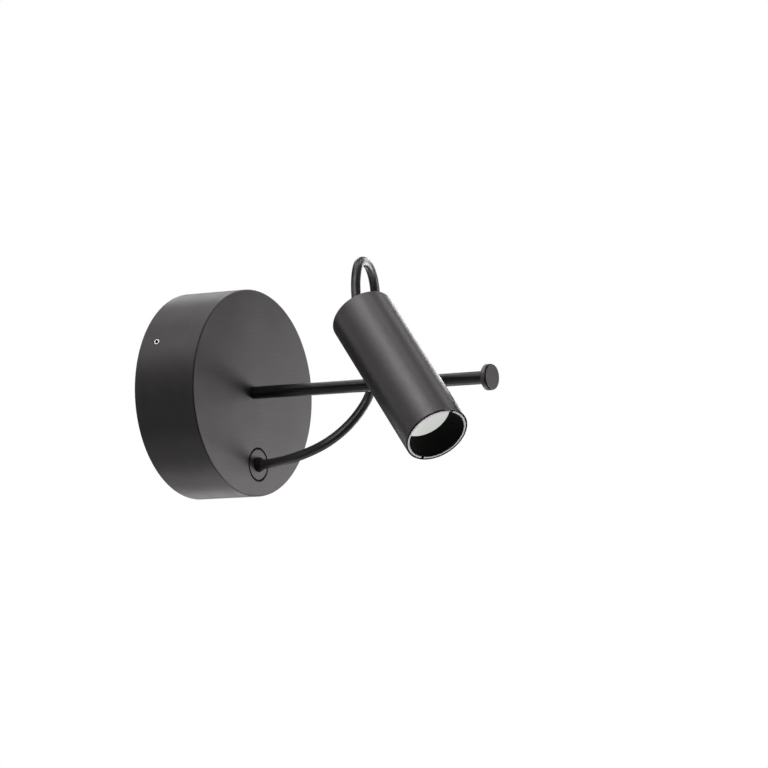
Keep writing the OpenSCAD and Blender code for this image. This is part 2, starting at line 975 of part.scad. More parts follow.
module pivot_bolt() {
    shank = pivot_offset - block_near + pivot_thread - seat_play - pivot_head_face;
    color(bright_steel)
        at_pivot() {
            difference() {
                along_pivot(pivot_head_face - pivot_head_thick)
                    chamfered(pivot_head_r, pivot_head_thick, block_edge / 2, 0);
                along_pivot(pivot_head_face - pivot_head_thick - cut)
                    hexagon(pivot_socket, pivot_socket_deep + cut);
            }
            along_pivot(pivot_head_face - face_play)
                cylinder(r = pivot_bolt_r, h = shank + face_play);
        }
}

module friction_washer() {
    color(nylon_white)
        at_block()
            along_pivot(-block_near - washer_thick + face_play)
                tube(saddle_r, pivot_bolt_r + seat_play, washer_thick - face_play);
}

module spring_washer() {
    lift = spring_height - spring_thick;
    low = pivot_bolt_r + seat_play;
    high = pivot_head_r;
    color(bright_steel)
        at_pivot()
            along_pivot(pivot_head_face)
                rotate_extrude()
                    polygon([
                        [low, 0], [high, lift - face_play], [high, spring_height - face_play],
                        [low, spring_thick - face_play]
                    ]);
}

// Head shell and saddles
module head_tube() {
    color(graphite)
        at_mouth()
            difference() {
                chamfered(head_r, head_len, head_edge, head_edge);
                translate([0, 0, -cut])
                    cylinder(r = bore_r, h = head_len + 2 * cut);
                translate([0, 0, -cut])
                    cylinder(r = seat_r, h = z_baffle + cut);
                translate([0, 0, pivot_from_mouth])
                    along_pivot(0)
                        cylinder(r = pivot_bolt_r + wall_hole_play, h = head_r + cut);
                at_sink_screws()
                    cylinder(r = sink_screw_r + thread_play, h = head_r + cut);
            }
}

module outer_saddle() {
    color(graphite)
        at_pivot()
            difference() {
                along_pivot(0)
                    chamfered(saddle_r, saddle_face, 0, block_edge / 2);
                translate([0, 0, -head_r])
                    cylinder(r = head_r, h = 2 * head_r);
                along_pivot(0)
                    cylinder(r = pivot_bolt_r + run_play, h = saddle_face + cut);
            }
}

module inner_saddle() {
    color(zinc)
        at_pivot()
            difference() {
                intersection() {
                    along_pivot(inner_face)
                        cylinder(r = inner_saddle_r, h = inner_saddle_rise);
                    translate([0, 0, -head_r])
                        cylinder(r = bore_r, h = 2 * head_r);
                }
                along_pivot(0)
                    cylinder(r = pivot_bolt_r + run_play, h = bore_r + cut);
            }
}

// Mouth of the head
module front_ring() {
    color(aluminium)
        at_mouth()
            difference() {
                translate([0, 0, ring_recess])
                    tube(ring_r, ring_bore_r, ring_thick);
                rotate([0, 0, notch_angle])
                    translate([-head_r, -notch_width / 2, ring_recess - cut])
                        cube([head_dia, notch_width, notch_deep + cut]);
            }
}

module baffle() {
    color(matt_black)
        at_mouth()
            rotate_extrude()
                polygon([
                    [ring_bore_r - ring_step, z_baffle], [inner_r, z_baffle],
                    [inner_r, lens_depth], [lens_show_dia / 2, lens_depth],
                    [lens_show_dia / 2, lens_depth - baffle_wall]
                ]);
}

module lens() {
    color(glass_white)
        at_mouth()
            translate([0, 0, lens_depth])
                chamfered(lens_r, lens_thick, 0, baffle_wall / 2);
}

module lens_gasket() {
    color(rubber_black)
        at_mouth()
            translate([0, 0, z_gasket])
                tube(inner_r, inner_r - gasket_thick, gasket_thick);
}

// Light source
function reflector_r(t) =
    throat_dia / 2 + (inner_r - gasket_thick - throat_dia / 2) * sqrt(t);

module reflector() {
    inner = [
        for (i = [0 : reflector_steps])
            let (t = i / reflector_steps)
            [reflector_r(t), z_holder - reflector_len * t]
    ];
    outer = [
        for (i = [reflector_steps : -1 : 0])
            let (t = i / reflector_steps)
            [
                min(inner_r, reflector_r(t) + reflector_wall),
                max(z_reflector + reflector_flange, z_holder - reflector_len * t)
            ]
    ];
    color(aluminium)
        at_mouth()
            rotate_extrude()
                polygon(concat(
                    inner,
                    [[inner_r, z_reflector], [inner_r, z_reflector + reflector_flange]],
                    part_of(outer, 1, reflector_steps)
                ));
}

module at_led_screws() {
    for (y = [-led_screw_at, led_screw_at])
        translate([0, y, 0])
            children();
}

module led_holder() {
    pocket = chip_side + 2 * chip_play;
    color(nylon_white)
        at_mouth()
            difference() {
                translate([0, 0, z_holder])
                    tube(holder_r, throat_dia / 2, holder_thick);
                translate([-pocket / 2, -pocket / 2, z_board - chip_thick - chip_play])
                    cube([pocket, pocket, chip_thick + chip_play + cut]);
                at_led_screws()
                    translate([0, 0, z_holder - cut])
                        cylinder(r = small_screw_r + screw_clear, h = holder_thick + 2 * cut);
                at_led_screws()
                    translate([0, 0, z_holder - cut])
                        cylinder(r = small_head_r + screw_clear, h = led_screw_sink + cut);
            }
}

module led_chip() {
    color(phosphor_yellow)
        at_mouth() {
            translate([-chip_side / 2, -chip_side / 2, z_board - chip_thick])
                cube([chip_side, chip_side, chip_thick]);
            translate([0, 0, z_board - chip_thick - phosphor_thick])
                cylinder(r = phosphor_r, h = chip_thick);
        }
}

module led_board() {
    color(board_white)
        at_mouth()
            translate([0, 0, z_board])
                difference() {
                    cylinder(r = board_r, h = board_thick);
                    at_led_screws()
                        translate([0, 0, -cut])
                            cylinder(r = small_screw_r + screw_clear, h = board_thick + 2 * cut);
                }
}

module led_screws() {
    color(bright_steel)
        at_mouth()
            at_led_screws()
                translate([0, 0, z_holder + led_screw_sink])
                    rotate([180, 0, 0])
                        pan_screw(small_screw_r, led_screw_len, small_head_r, small_head_thick);
}

// Places of the screws that hold the heat sink, drawn along +Z from the head's axis
module at_sink_screws() {
    for (side = [-1, 1])
        translate([0, 0, z_sink + sink_disc / 2])
            rotate([0, 0, side * sink_screw_angle])
                along_pivot(0)
                    children();
}

module heat_sink() {
    screw_depth = led_screw_len - (z_sink - z_holder - led_screw_sink) + seat_play;
    color(aluminium)
        at_mouth()
            difference() {
                intersection() {
                    union() {
                        translate([0, 0, z_sink])
                            cylinder(r = inner_r, h = sink_disc);
                        translate([0, 0, z_sink])
                            cylinder(r = hub_r, h = sink_len);
                        for (i = [0 : fin_count - 1])
                            rotate([0, 0, 360 * i / fin_count])
                                translate([hub_r / 2, -fin_thick / 2, z_sink])
                                    cube([head_r, fin_thick, sink_len]);
                    }
                    translate([0, 0, z_sink])
                        cylinder(r = inner_r, h = sink_len);
                }
                translate([0, 0, z_sink - cut])
                    cylinder(r = cable_r + 2 * cable_play, h = sink_len + 2 * cut);
                at_led_screws()
                    translate([0, 0, z_sink - cut])
                        cylinder(r = small_screw_r + thread_play, h = screw_depth + cut);
                translate([0, 0, pivot_from_mouth])
                    along_pivot(pivot_head_face - pivot_head_thick - sink_pocket_play)
                        cylinder(r = sink_pocket_r, h = head_r);
                at_sink_screws()
                    translate([0, 0, head_r - sink_screw_sink - sink_screw_len - seat_play])
                        cylinder(r = sink_screw_r + thread_play, h = head_r);
            }
}

module sink_screws() {
    color(rod_black)
        at_mouth()
            at_sink_screws()
                translate([0, 0, head_r - sink_screw_sink - sink_screw_len])
                    socket_screw(sink_screw_r, sink_screw_len, sink_screw_r, sink_screw_r);
}

// Rear of the head
module rear_cap() {
    color(graphite)
        at_mouth()
            translate([0, 0, z_cap])
                difference() {
                    chamfered(inner_r, cap_thick, 0, head_edge / 2);
                    translate([0, 0, -cut])
                        cylinder(r = cap_bore_r, h = cap_thick + 2 * cut);
                    for (x = [-spanner_at, spanner_at])
                        translate([x, 0, cap_thick - spanner_deep])
                            cylinder(r = spanner_r, h = spanner_deep + cut);
                }
}

module rear_grommet() {
    color(rubber_black)
        at_mouth()
            rotate_extrude()
                polygon([
                    [cable_r + cable_play, z_cap - rear_flange_thick],
                    [rear_flange_r, z_cap - rear_flange_thick],
                    [rear_flange_r, z_cap],
                    [grommet_r, z_cap],
                    [grommet_r, head_len],
                    [nose_tip_r, rear_tip],
                    [cable_r + cable_play, rear_tip]
                ]);
}

module cord_stop() {
    color(bright_steel)
        at_mouth()
            translate([0, 0, z_stop])
                tube(cable_r + stop_wall, cable_r + thread_play, stop_len);
}

module head_lead() {
    color(rubber_black)
        at_mouth()
            translate([0, 0, z_sink])
                cylinder(r = cable_r, h = rear_tip - z_sink);
}

wall_plate();
canopy();
drum_screws();
driver();
driver_screws();
terminal_block();
terminal_screws();
block_screws();
earth_screw();
earth_washer();
mains_leads();
earth_lead();
rod();
rod_washer();
rod_nut();
end_knob();
cable_outlet();
outlet_nut();
outlet_grommet();
inner_lead();
cable_lower();
cable_middle();
cable_upper();
slider_sleeve();
sleeve_ring();
pivot_block();
friction_pad();
friction_screw();
pivot_bolt();
friction_washer();
spring_washer();
head_tube();
outer_saddle();
inner_saddle();
front_ring();
baffle();
lens();
lens_gasket();
reflector();
led_holder();
led_chip();
led_board();
led_screws();
heat_sink();
sink_screws();
rear_cap();
rear_grommet();
cord_stop();
head_lead();
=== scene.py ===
"""Looks of the pivoting spotlight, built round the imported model.

Everything is in metres in the model's own frame: +Z up, the wall at y = 0, the rod along -Y.
"""

import json
import math

import bmesh
import bpy
from mathutils import Matrix, Vector
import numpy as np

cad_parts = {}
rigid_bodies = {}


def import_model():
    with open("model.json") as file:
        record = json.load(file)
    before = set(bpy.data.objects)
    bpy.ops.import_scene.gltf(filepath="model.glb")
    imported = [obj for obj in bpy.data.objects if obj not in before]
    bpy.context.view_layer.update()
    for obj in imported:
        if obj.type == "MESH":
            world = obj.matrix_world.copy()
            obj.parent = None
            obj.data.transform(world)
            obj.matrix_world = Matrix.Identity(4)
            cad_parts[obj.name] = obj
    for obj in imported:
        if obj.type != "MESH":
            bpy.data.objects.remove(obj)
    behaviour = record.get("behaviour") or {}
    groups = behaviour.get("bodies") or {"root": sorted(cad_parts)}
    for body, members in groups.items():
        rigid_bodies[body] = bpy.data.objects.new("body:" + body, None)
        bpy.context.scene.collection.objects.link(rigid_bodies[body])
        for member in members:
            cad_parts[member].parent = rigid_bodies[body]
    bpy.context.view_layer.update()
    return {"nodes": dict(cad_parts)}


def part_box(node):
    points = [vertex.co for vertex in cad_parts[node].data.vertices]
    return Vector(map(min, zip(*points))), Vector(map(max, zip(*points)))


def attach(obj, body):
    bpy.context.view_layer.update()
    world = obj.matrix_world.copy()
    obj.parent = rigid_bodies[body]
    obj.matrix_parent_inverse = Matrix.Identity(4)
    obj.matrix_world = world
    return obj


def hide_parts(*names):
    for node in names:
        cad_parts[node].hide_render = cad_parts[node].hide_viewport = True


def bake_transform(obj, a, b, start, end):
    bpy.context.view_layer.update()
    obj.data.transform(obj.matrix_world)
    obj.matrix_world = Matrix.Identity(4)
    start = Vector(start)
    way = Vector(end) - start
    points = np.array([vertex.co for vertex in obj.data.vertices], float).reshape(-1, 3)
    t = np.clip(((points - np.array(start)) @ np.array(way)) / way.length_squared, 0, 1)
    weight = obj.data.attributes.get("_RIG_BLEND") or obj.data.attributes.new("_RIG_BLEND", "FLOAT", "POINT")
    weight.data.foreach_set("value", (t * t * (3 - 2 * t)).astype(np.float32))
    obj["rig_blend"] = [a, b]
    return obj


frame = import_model()
NODES = frame["nodes"]
MM = 0.001

# Camera, fitted to the photograph: angles in degrees, places in metres, lens and sensor in mm
CAMERA_AZIMUTH = -57.03
CAMERA_ELEVATION = -0.41
CAMERA_ROLL = -3.58
CAMERA_DISTANCE = 2.529
CAMERA_RIGHT = 0.08147
CAMERA_UP = 0.0056
CAMERA_LENS = 189.25
CAMERA_CLIP_END = 50
SENSOR = 36.0


def make_camera():
    """Looks at the drum's face from the left, nearly level and rolled as in the photograph."""
    azimuth, elevation, roll = (
        math.radians(a) for a in (CAMERA_AZIMUTH, CAMERA_ELEVATION, CAMERA_ROLL)
    )
    right = Vector((math.cos(azimuth), math.sin(azimuth), 0))
    back = Vector((
        math.sin(azimuth) * math.cos(elevation),
        -math.cos(azimuth) * math.cos(elevation),
        math.sin(elevation),
    ))
    up = back.cross(right)
    rolled_right = right * math.cos(roll) + up * math.sin(roll)
    rolled_up = -right * math.sin(roll) + up * math.cos(roll)
    face = Vector((0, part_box("canopy")[0].y, 0))
    data = bpy.data.cameras.new("camera")
    data.lens = CAMERA_LENS
    data.sensor_width = SENSOR
    data.clip_end = CAMERA_CLIP_END
    camera = bpy.data.objects.new("camera", data)
    axes = Matrix((rolled_right, rolled_up, back)).transposed().to_4x4()
    place = face + CAMERA_RIGHT * rolled_right + CAMERA_UP * rolled_up + CAMERA_DISTANCE * back
    camera.matrix_world = Matrix.Translation(place) @ axes
    bpy.context.scene.collection.objects.link(camera)
    bpy.context.scene.camera = camera


make_camera()

# The cord's route in mm, the same as in the solids, from the outlet to the head's rear
CORD_POINTS = [
    (0, -48, -45), (0, -60, -44), (0.5, -71.5, -42), (2.5, -82.5, -38.8), (4.5, -93.5, -34.3),
    (8, -103, -28), (12, -111, -20.1), (16, -117.5, -10.6), (20, -121, -0.5), (25, -122.5, 10),
    (29.5, -120.5, 21), (33.5, -117, 31.5), (37, -114.5, 42.5), (38.2, -115.3, 54.7),
    (34.3, -117, 66.4), (25.8, -119.9, 74.2), (15, -123, 76.8), (3.8, -126.6, 74.6),
    (-4.6, -129.8, 66.7), (-10.3, -132.8, 56.2), (-15.006, -137.064, 46.376),
]
# Each piece of the cord, the solid it stands for, the bodies it hangs between and the numbers
# of its first and last points
CORD_PLAN = [
    ("cord_lower", "cable_lower", ("root", "carriage"), 0, 6),
    ("cord_middle", "cable_middle", ("carriage", "collar"), 6, 12),
    ("cord_upper", "cable_upper", ("collar", "head"), 12, 20),
]
CORD_RADIUS = 3 * MM
CORD_START = Vector((0, -1, 0))
# Rings between two points, faces round the cord, and the angle above which an edge stays sharp
CORD_STEPS = 10
CORD_SIDES = 40
CORD_SHARP_ANGLE = 60
# How far the head is swung and tilted at rest, and the direction that it points in
SWING = math.radians(26.3)
TILT = math.radians(40.6)
HEAD_AHEAD = Vector((
    -math.cos(TILT) * math.sin(SWING),
    -math.sin(TILT),
    -math.cos(TILT) * math.cos(SWING),
))


def smooth_route(points, first, last, steps):
    """Points along one smooth curve through the given ones, and its direction at each."""
    count = len(points)
    ahead = []
    for i in range(count):
        if i == 0:
            ahead.append(first * (points[1] - points[0]).length)
        elif i == count - 1:
            ahead.append(last * (points[-1] - points[-2]).length)
        else:
            ahead.append((points[i + 1] - points[i - 1]) / 2)
    route, tangents = [], []
    for i in range(count - 1):
        for k in range(steps if i < count - 2 else steps + 1):
            t = k / steps
            a, b, da, db = points[i], points[i + 1], ahead[i], ahead[i + 1]
            route.append(
                a * (2 * t**3 - 3 * t**2 + 1) + da * (t**3 - 2 * t**2 + t)
                + b * (3 * t**2 - 2 * t**3) + db * (t**3 - t**2)
            )
            tangents.append((
                a * (6 * t**2 - 6 * t) + da * (3 * t**2 - 4 * t + 1)
                + b * (6 * t - 6 * t**2) + db * (3 * t**2 - 2 * t)
            ).normalized())
    return route, tangents


def carried_sides(tangents):
    """A direction square to the route at each point, carried along it without twist."""
    side, sides = Vector((1, 0, 0)), []
    for ahead in tangents:
        side = (side - side.dot(ahead) * ahead).normalized()
        sides.append(side.copy())
    return sides


def mesh_object(name, vertices, faces, sharp_above=None):
    """An object from points and faces, smooth but for the edges sharper than the angle."""
    mesh = bpy.data.meshes.new(name)
    mesh.from_pydata([tuple(v) for v in vertices], [], faces)
    mesh.validate()
    mesh.update()
    if sharp_above is not None:
        mesh.shade_smooth()
        mesh.set_sharp_from_angle(angle=math.radians(sharp_above))
    made = bpy.data.objects.new(name, mesh)
    bpy.context.scene.collection.objects.link(made)
    return made


def tube(name, route, tangents, sides, radius, around):
    """A closed tube with one ring at each point of the route."""
    vertices, faces = [], []
    for place, ahead, side in zip(route, tangents, sides):
        across = ahead.cross(side)
        for k in range(around):
            a = 2 * math.pi * k / around
            vertices.append(place + radius * (math.cos(a) * side + math.sin(a) * across))
    for i in range(len(route) - 1):
        for k in range(around):
            a, b = i * around + k, i * around + (k + 1) % around
            faces.append((a, b, b + around, a + around))
    faces.append(tuple(reversed(range(around))))
    last = (len(route) - 1) * around
    faces.append(tuple(last + k for k in range(around)))
    return mesh_object(name, vertices, faces, sharp_above=CORD_SHARP_ANGLE)


def make_cords():
    """The cable as three cords along one route, each bending across one joint."""
    points = [Vector(p) * MM for p in CORD_POINTS]
    route, tangents = smooth_route(points, CORD_START, HEAD_AHEAD, CORD_STEPS)
    sides = carried_sides(tangents)
    made = []
    for name, node, bodies, first_point, last_point in CORD_PLAN:
        span = slice(first_point * CORD_STEPS, last_point * CORD_STEPS + 1)
        piece_route = route[span]
        piece = tube(name, piece_route, tangents[span], sides[span], CORD_RADIUS, CORD_SIDES)
        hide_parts(node)
        # The blend begins and ends one radius in, so that both end faces stay rigid
        reach = piece_route[-1] - piece_route[0]
        margin = CORD_RADIUS / reach.length
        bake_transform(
            piece, *bodies,
            start=tuple(piece_route[0] + reach * margin),
            end=tuple(piece_route[-1] - reach * margin),
        )
        made.append(piece)
    return made


cords = make_cords()


# Materials. Nearly all of a noise's values lie between these two
NOISE_LOW = 0.3
NOISE_HIGH = 0.7


def new_material(name):
    """A named material with its nodes, its links and its shader."""
    material = bpy.data.materials.new(f"finish_{name}")
    material.use_nodes = True
    nodes, links = material.node_tree.nodes, material.node_tree.links
    return material, nodes, links, nodes["Principled BSDF"]


def stretched_noise(nodes, links, scale, stretch=(1, 1, 1), detail=4, roughness=0.6):
    """Noise over the piece's own coordinates, longer along the axes with a small stretch."""
    place = nodes.new("ShaderNodeTexCoord")
    mapping = nodes.new("ShaderNodeMapping")
    mapping.inputs["Scale"].default_value = stretch
    noise = nodes.new("ShaderNodeTexNoise")
    noise.inputs["Scale"].default_value = scale
    noise.inputs["Detail"].default_value = detail
    noise.inputs["Roughness"].default_value = roughness
    links.new(place.outputs["Object"], mapping.inputs["Vector"])
    links.new(mapping.outputs["Vector"], noise.inputs["Vector"])
    return noise.outputs["Fac"]


def spread(nodes, links, value, low, high):
    """The noise's middle range spread between two values."""
    ranged = nodes.new("ShaderNodeMapRange")
    ranged.inputs["From Min"].default_value = NOISE_LOW
    ranged.inputs["From Max"].default_value = NOISE_HIGH
    ranged.inputs["To Min"].default_value = low
    ranged.inputs["To Max"].default_value = high
    links.new(value, ranged.inputs["Value"])
    return ranged.outputs["Result"]


def between(nodes, links, factor, low, high):
    """A colour between two, by the factor."""
    mix = nodes.new("ShaderNodeMix")
    mix.data_type = "RGBA"
    mix.inputs["A"].default_value = (*low, 1)
    mix.inputs["B"].default_value = (*high, 1)
    links.new(factor, mix.inputs["Factor"])
    return mix.outputs["Result"]


def bump(nodes, links, shader, height, strength, distance):
    """Makes the shader's surface rise and fall with the height."""
    made = nodes.new("ShaderNodeBump")
    made.inputs["Strength"].default_value = strength
    made.inputs["Distance"].default_value = distance
    links.new(height, made.inputs["Height"])
    links.new(made.outputs["Normal"], shader.inputs["Normal"])


def finish_material(
    name, dark, light, rough, metallic=0.0, grain=900, stretch=(1, 1, 1),
    bump_size=0.02 * MM, bump_strength=0.3, cloud=18, specular=0.5, glow=0.0,
):
    """A surface with fine grain in its bump and roughness and slow clouds in its colour."""
    material, nodes, links, shader = new_material(name)
    clouds = spread(nodes, links, stretched_noise(nodes, links, cloud, detail=3), 0, 1)
    fine = stretched_noise(nodes, links, grain, stretch)
    colour = between(nodes, links, clouds, dark, light)
    links.new(colour, shader.inputs["Base Color"])
    links.new(spread(nodes, links, fine, rough[0], rough[1]), shader.inputs["Roughness"])
    shader.inputs["Metallic"].default_value = metallic
    shader.inputs["Specular IOR Level"].default_value = specular
    if glow:
        links.new(colour, shader.inputs["Emission Color"])
        shader.inputs["Emission Strength"].default_value = glow
    bump(nodes, links, shader, fine, bump_strength, bump_size)
    return material


def grey(level):
    """A grey with the photograph's faint warm violet cast."""
    return (level * 1.03, level * 0.975, level * 1.0)


# What every material is made of: two colours, a range of roughness and what differs
FINISHES = {
    "brushed_graphite": dict(
        dark=grey(0.155), light=grey(0.185), rough=(0.42, 0.53), metallic=1.0, grain=90,
        stretch=(0.7, 6, 14), bump_size=0.02 * MM, bump_strength=0.12,
    ),
    "turned_graphite": dict(
        dark=grey(0.155), light=grey(0.185), rough=(0.42, 0.53), metallic=1.0, grain=90,
        stretch=(0.4, 14, 0.4), bump_size=0.02 * MM, bump_strength=0.1,
    ),
    "satin_graphite": dict(
        dark=grey(0.15), light=grey(0.175), rough=(0.42, 0.48), metallic=1.0, grain=500,
        bump_size=0.004 * MM, bump_strength=0.05,
    ),
    "knob_graphite": dict(
        dark=grey(0.25), light=grey(0.29), rough=(0.41, 0.49), metallic=1.0, grain=1400,
        bump_size=0.008 * MM, bump_strength=0.12,
    ),
    "satin_black": dict(
        dark=grey(0.09), light=grey(0.11), rough=(0.3, 0.36), metallic=1.0, grain=300,
        stretch=(1, 0.1, 1), bump_size=0.002 * MM, bump_strength=0.05,
    ),
    "rubber": dict(
        dark=grey(0.036), light=grey(0.046), rough=(0.33, 0.39), grain=900, bump_size=0.004 * MM,
        bump_strength=0.06, specular=1.0,
    ),
    "steel": dict(
        dark=grey(0.62), light=grey(0.72), rough=(0.22, 0.32), metallic=1.0, grain=1500,
        bump_size=0.008 * MM, bump_strength=0.2,
    ),
    "zinc": dict(
        dark=(0.5, 0.52, 0.54), light=(0.6, 0.62, 0.64), rough=(0.3, 0.45), metallic=1.0,
        grain=500, cloud=60, bump_size=0.01 * MM,
    ),
    "black_steel": dict(
        dark=grey(0.02), light=grey(0.03), rough=(0.3, 0.4), metallic=0.6, grain=1500,
    ),
    "aluminium": dict(
        dark=grey(0.68), light=grey(0.78), rough=(0.25, 0.36), metallic=1.0, grain=800,
        stretch=(1, 1, 6), bump_size=0.008 * MM,
    ),
    # The baffle's own matt black, also used as painted shade in gaps, grooves and sockets
    "matt_black": dict(
        dark=grey(0.003), light=grey(0.005), rough=(0.75, 0.9), grain=1500, specular=0.15,
    ),
    "driver_plastic": dict(
        dark=grey(0.02), light=grey(0.03), rough=(0.5, 0.65), grain=1200, bump_size=0.03 * MM,
    ),
    "nylon": dict(
        dark=(0.72, 0.72, 0.68), light=(0.8, 0.8, 0.76), rough=(0.4, 0.5), grain=900,
    ),
    "brown_wire": dict(
        dark=(0.12, 0.05, 0.025), light=(0.16, 0.07, 0.03), rough=(0.35, 0.45),
    ),
    "green_wire": dict(
        dark=(0.1, 0.3, 0.05), light=(0.5, 0.5, 0.08), rough=(0.35, 0.45), cloud=160,
    ),
    # The lens glows a little: painted light, since the lamp is off
    "frosted": dict(
        dark=(0.82, 0.84, 0.8), light=(0.92, 0.94, 0.89), rough=(0.2, 0.35), grain=1500, cloud=60,
        glow=0.66,
    ),
    "turned_aluminium": dict(
        dark=grey(0.78), light=grey(0.88), rough=(0.4, 0.5), metallic=1.0, grain=1200,
        bump_size=0.005 * MM,
    ),
    "soft_rubber": dict(
        dark=grey(0.006), light=grey(0.01), rough=(0.6, 0.75), grain=1500, specular=0.3,
    ),
    "polished_steel": dict(
        dark=grey(0.9), light=grey(0.95), rough=(0.24, 0.3), metallic=1.0, grain=1500,
        bump_size=0.004 * MM,
    ),
    "board": dict(
        dark=(0.8, 0.8, 0.76), light=(0.86, 0.86, 0.82), rough=(0.35, 0.45),
    ),
    "phosphor": dict(
        dark=(0.75, 0.55, 0.08), light=(0.85, 0.65, 0.12), rough=(0.25, 0.35), cloud=300,
    ),
}
MATERIALS = {name: finish_material(name, **finish) for name, finish in FINISHES.items()}
# The pieces that each material is on
WEARS = {
    "brushed_graphite": ["canopy", "cable_outlet"],
    "satin_graphite": ["head_tube", "outer_saddle", "rear_cap", "pivot_block"],
    "knob_graphite": ["end_knob"],
    "satin_black": ["rod"],
    "soft_rubber": ["outlet_grommet", "rear_grommet"],
    "polished_steel": ["drum_screws"],
    "turned_aluminium": ["front_ring"],
    "rubber": ["lens_gasket", "inner_lead", "head_lead"],
    "steel": [
        "terminal_screws", "earth_screw", "sleeve_ring", "friction_screw",
        "pivot_bolt", "spring_washer", "led_screws", "cord_stop",
    ],
    "zinc": [
        "wall_plate", "driver_screws", "block_screws", "earth_washer", "rod_washer", "rod_nut",
        "outlet_nut", "inner_saddle",
    ],
    "black_steel": ["sink_screws"],
    "aluminium": ["reflector", "heat_sink"],
    "matt_black": ["baffle"],
    "driver_plastic": ["driver"],
    "nylon": ["terminal_block", "slider_sleeve", "friction_pad", "friction_washer", "led_holder"],
    "brown_wire": ["mains_leads"],
    "green_wire": ["earth_lead"],
    "frosted": ["lens"],
    "board": ["led_board"],
    "phosphor": ["led_chip"],
}


def wear(piece, material):
    """Every face of the piece gets the material."""
    mesh = piece.data
    if not mesh.materials:
        mesh.materials.append(MATERIALS[material])
    for i in range(len(mesh.materials)):
        mesh.materials[i] = MATERIALS[material]


for material, names in WEARS.items():
    for name in names:
        wear(NODES[name], material)
for cord in cords:
    wear(cord, "rubber")

# The pieces that are shown with rounded edges, and how wide each edge is in mm
EDGES = {
    "canopy": 0.35, "head_tube": 0.2, "rod": 0.25, "end_knob": 0.15, "drum_screws": 0.12,
    "outlet_grommet": 0.25, "front_ring": 0.1, "rear_cap": 0.25, "pivot_block": 0.3,
    "outer_saddle": 0.12, "sleeve_ring": 0.12, "slider_sleeve": 0.15, "wall_plate": 0.2,
    "friction_screw": 0.08, "rear_grommet": 0.2, "driver": 0.5, "terminal_block": 0.3,
    "heat_sink": 0.15, "baffle": 0.05,
}
# Angles in degrees: of the edges that are rounded, of those that stay sharp in the shading,
# and the bend below which neighbouring triangles are joined into one face
EDGE_ANGLE = 38
SHARP_ANGLE = 50
FLAT_ANGLE = 0.6
EDGE_STEPS = 3
EDGE_PROFILE = 0.5
WELD = 0.0005 * MM
# The canopy's edge round the outlet, in mm, and how near the outlet's rim it is looked for
OUTLET_EDGE = 0.08
OUTLET_EDGE_NEAR = 0.5 * MM
# The outlet's disc: its thickness, its front edges and the groove round it
OUTLET_THICK = 2 * MM
OUTLET_LIP = 0.15 * MM
OUTLET_STEM_END = 1 * MM
OUTLET_SIDES = 120
OUTLET_SHARP_ANGLE = 30
GROOVE_WIDTH = 0.85 * MM
GROOVE_SLOPE = 0.1 * MM
GROOVE_DEEP_INSIDE = 0.6 * MM
GROOVE_DEEP_OUTSIDE = 0.9 * MM
# Keeps round surfaces free of dark steps where the light grazes them
TERMINATOR = 0.3
FACE_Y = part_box("canopy")[0].y
OUTLET_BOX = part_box("cable_outlet")
OUTLET_CENTRE = (OUTLET_BOX[0] + OUTLET_BOX[1]) / 2
OUTLET_RADIUS = (OUTLET_BOX[1].x - OUTLET_BOX[0].x) / 2


def from_outlet(place):
    """How far a point is from the cable outlet's axis."""
    return math.hypot(place.x - OUTLET_CENTRE.x, place.z - OUTLET_CENTRE.z)


def by_outlet(place):
    """On the edge of the hole that the outlet's disc fills, at the front."""
    in_front = place.y < FACE_Y + OUTLET_EDGE_NEAR
    return in_front and from_outlet(place) < OUTLET_RADIUS + OUTLET_EDGE_NEAR


def clean_mesh(source):
    """The piece's mesh with its triangles joined into flat faces."""
    mesh = bmesh.new()
    mesh.from_mesh(source.data)
    bmesh.ops.remove_doubles(mesh, verts=mesh.verts, dist=WELD)
    bmesh.ops.dissolve_limit(
        mesh, angle_limit=math.radians(FLAT_ANGLE), verts=mesh.verts, edges=mesh.edges
    )
    return mesh


def break_edges(shape, width, chosen):
    """Rounds the sharp edges whose middle passes the test."""
    sharp = [
        e for e in shape.edges
        if e.is_manifold and e.calc_face_angle(0) > math.radians(EDGE_ANGLE)
        and chosen((e.verts[0].co + e.verts[1].co) / 2)
    ]
    bmesh.ops.bevel(
        shape, geom=sharp, offset=width * MM, offset_type="OFFSET", segments=EDGE_STEPS,
        profile=EDGE_PROFILE, affect="EDGES", clamp_overlap=True,
    )


def refined(name, width):
    """A copy of the piece with its sharp edges rounded, shown in its place."""
    source = NODES[name]
    shape = clean_mesh(source)
    if name == "canopy":
        break_edges(shape, width, lambda place: not by_outlet(place))
        break_edges(shape, OUTLET_EDGE, by_outlet)
    else:
        break_edges(shape, width, lambda place: True)
    mesh = bpy.data.meshes.new(f"{name}_shown")
    shape.to_mesh(mesh)
    shape.free()
    for extra in [a.name for a in mesh.attributes if a.name in ("custom_normal", "sharp_edge")]:
        mesh.attributes.remove(mesh.attributes[extra])
    mesh.shade_smooth()
    mesh.set_sharp_from_angle(angle=math.radians(SHARP_ANGLE))
    made = bpy.data.objects.new(f"{name}_shown", mesh)
    bpy.context.scene.collection.objects.link(made)
    made.modifiers.new("normals", "WEIGHTED_NORMAL").keep_sharp = True
    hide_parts(name)
    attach(made, source.parent.name.removeprefix("body:"))
    return made


def lathe(name, centre, profile, sides):
    """A ring turned about the Y axis through the centre, from (radius, y) points."""
    count = len(profile)
    vertices, faces = [], []
    for k in range(sides):
        a = 2 * math.pi * k / sides
        for radius, y in profile:
            vertices.append((centre.x + radius * math.cos(a), y, centre.z + radius * math.sin(a)))
    for k in range(sides):
        here, beyond = k * count, (k + 1) % sides * count
        for i in range(count):
            j = (i + 1) % count
            faces.append((here + i, here + j, beyond + j, beyond + i))
    return mesh_object(name, vertices, faces, sharp_above=OUTLET_SHARP_ANGLE)


